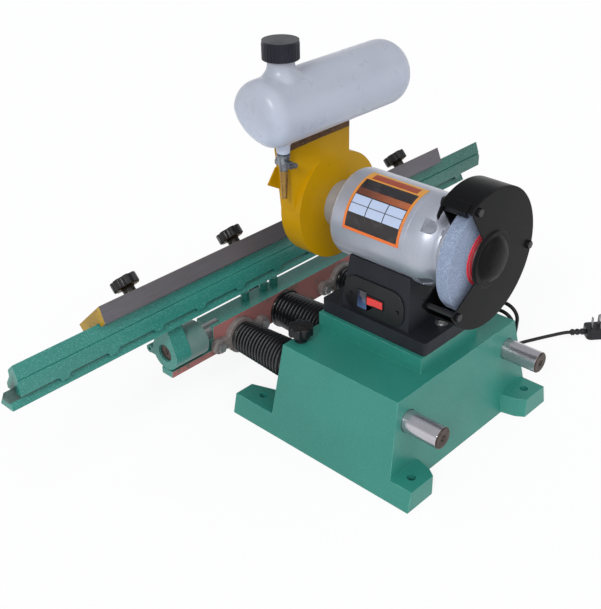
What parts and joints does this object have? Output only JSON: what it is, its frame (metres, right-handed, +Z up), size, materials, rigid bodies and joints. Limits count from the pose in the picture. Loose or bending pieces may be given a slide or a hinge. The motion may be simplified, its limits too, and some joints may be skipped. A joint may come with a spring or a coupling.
{
  "type": "planer knife grinder",
  "caption": "Hand-fed grinder for straight planer knives: cast base with bench grinder, tilting V rail with sliding clamp carriage, coolant bottle and screw infeed.",
  "frame": {"origin": "floor plane, centre of the four floor bolt holes, under the grinder spindle", "axes": "+X along the rail, +Y from the operator's rail to the guarded straight wheel, +Z up"},
  "size_m": [0.9445, 0.426, 0.5345],
  "materials": {
    "green_paint": "semi-gloss enamel over cast iron",
    "primer": "matt red-brown primer",
    "black_paint": "satin black paint",
    "silver_paint": "silver hammer paint",
    "yellow_paint": "gloss yellow paint",
    "steel": "ground",
    "iron": "laminated",
    "bronze": "turned",
    "copper": "drawn",
    "abrasive": "sintered grit",
    "cup_abrasive": "sintered grit",
    "card": "red card",
    "bottle_plastic": "milky",
    "black_plastic": "moulded",
    "red_plastic": "moulded",
    "rubber": "moulded",
    "label_film": "printed film, no lettering",
    "fibre": "pressed fibre saddle"
  },
  "bodies": {
    "frame": {"base": "green_paint", "rod_bushes": "bronze", "feed_nut": "bronze", "pedestal": "black_paint", "pedestal_screws": "steel", "motor_shell": "silver_paint", "bell_outer": "silver_paint", "bell_inner": "silver_paint", "stator": "iron", "windings": "copper", "bearings": "steel", "switch_body": "black_plastic", "switch_plate": "black_plastic", "label": "label_film", "guard_back": "black_paint", "guard_cover": "black_paint", "guard_bolts": "steel", "spark_plate": "black_paint", "splash_guard": "yellow_paint", "bottle_pad": "fibre", "bottle": "bottle_plastic", "tap": "steel", "drip_tube": "copper", "cord_gland": "rubber", "cord_lead": "rubber", "cord_hank": "rubber", "cord_tie": "black_plastic", "cord_tail": "rubber", "plug": "black_plastic", "plug_pins": "steel"},
    "spindle": {"shaft": "steel", "rotor": "iron", "wheel": "abrasive", "blotter": "card", "wheel_flanges": "steel", "spindle_nuts": "steel", "cup_wheel": "cup_abrasive"},
    "switch": {"rocker": "red_plastic"},
    "cap": {"bottle_cap": "black_plastic"},
    "tap_handle": {"tap_wing": "steel"},
    "lock": {"lock_knob": "black_plastic", "lock_screw": "steel"},
    "slide": {"crossbeam": "primer", "guide_rods": "steel", "rod_flanges": "steel", "beam_bolts": "steel", "pivot_studs": "steel", "bellows_near": "rubber", "bellows_mid": "rubber", "bellows_far": "rubber"},
    "feed": {"feed_screw": "steel", "feed_knob": "black_plastic"},
    "tilt": {"pivot_blocks": "green_paint", "rail": "green_paint"},
    "carriage": {"carriage": "green_paint"},
    "clamp": {"clamp_bar": "yellow_paint"},
    "knob_1": {"clamp_knob_1": "black_plastic"},
    "knob_2": {"clamp_knob_2": "black_plastic"},
    "knob_3": {"clamp_knob_3": "black_plastic"},
    "knob_4": {"clamp_knob_4": "black_plastic"}
  },
  "joints": [
    {"name": "spindle_spin", "type": "hinge", "parent": "frame", "child": "spindle", "pos_m": [0, 0, 0.293], "axis": [0, 1, 0], "continuous": true},
    {"name": "switch_rock", "type": "hinge", "parent": "frame", "child": "switch", "pos_m": [0.0495, 0.0035, 0.201], "axis": [0, 0, 1], "range_deg": [-12, 0]},
    {"name": "cap_turn", "type": "hinge", "parent": "frame", "child": "cap", "pos_m": [0.098, -0.112, 0.52], "axis": [0, 0, 1], "range_deg": [0, 540]},
    {"name": "tap_turn", "type": "hinge", "parent": "frame", "child": "tap_handle", "pos_m": [0.098, -0.1, 0.3795], "axis": [0, 1, 0], "range_deg": [0, 90]},
    {"name": "lock_turn", "type": "hinge", "parent": "frame", "child": "lock", "pos_m": [0.106, -0.08, 0.14], "axis": [0, 0, 1], "range_deg": [0, 180]},
    {"name": "infeed", "type": "slide", "parent": "frame", "child": "slide", "axis": [0, 1, 0], "range_m": [-0.025, 0.015], "deforming": ["bellows_near", "bellows_mid", "bellows_far"]},
    {"name": "feed_turn", "type": "hinge", "parent": "slide", "child": "feed", "pos_m": [0.016, -0.25, 0.097], "axis": [0, 1, 0], "range_deg": [-2260, 1360]},
    {"name": "rail_tilt", "type": "hinge", "parent": "slide", "child": "tilt", "pos_m": [0, -0.212, 0.118], "axis": [1, 0, 0], "range_deg": [-5, 30]},
    {"name": "traverse", "type": "slide", "parent": "tilt", "child": "carriage", "axis": [1, 0, 0], "range_m": [-0.345, 0.345]},
    {"name": "clamp_lift", "type": "slide", "parent": "carriage", "child": "clamp", "axis": [0, -0.682, 0.7314], "range_m": [0, 0.006]},
    {"name": "knob_1_turn", "type": "hinge", "parent": "clamp", "child": "knob_1", "pos_m": [-0.276, -0.2045, 0.2139], "axis": [0, -0.682, 0.7314], "range_deg": [0, 1730]},
    {"name": "knob_2_turn", "type": "hinge", "parent": "clamp", "child": "knob_2", "pos_m": [-0.092, -0.2045, 0.2139], "axis": [0, -0.682, 0.7314], "range_deg": [0, 1730]},
    {"name": "knob_3_turn", "type": "hinge", "parent": "clamp", "child": "knob_3", "pos_m": [0.092, -0.2045, 0.2139], "axis": [0, -0.682, 0.7314], "range_deg": [0, 1730]},
    {"name": "knob_4_turn", "type": "hinge", "parent": "clamp", "child": "knob_4", "pos_m": [0.276, -0.2045, 0.2139], "axis": [0, -0.682, 0.7314], "range_deg": [0, 1730]}
  ],
  "couplings": [
    {"joint": "feed_turn", "follows": "infeed", "rad_per_m": 1570.8},
    {"joint": "knob_1_turn", "follows": "clamp_lift", "rad_per_m": 5026.5},
    {"joint": "knob_2_turn", "follows": "clamp_lift", "rad_per_m": 5026.5},
    {"joint": "knob_3_turn", "follows": "clamp_lift", "rad_per_m": 5026.5},
    {"joint": "knob_4_turn", "follows": "clamp_lift", "rad_per_m": 5026.5}
  ]
}
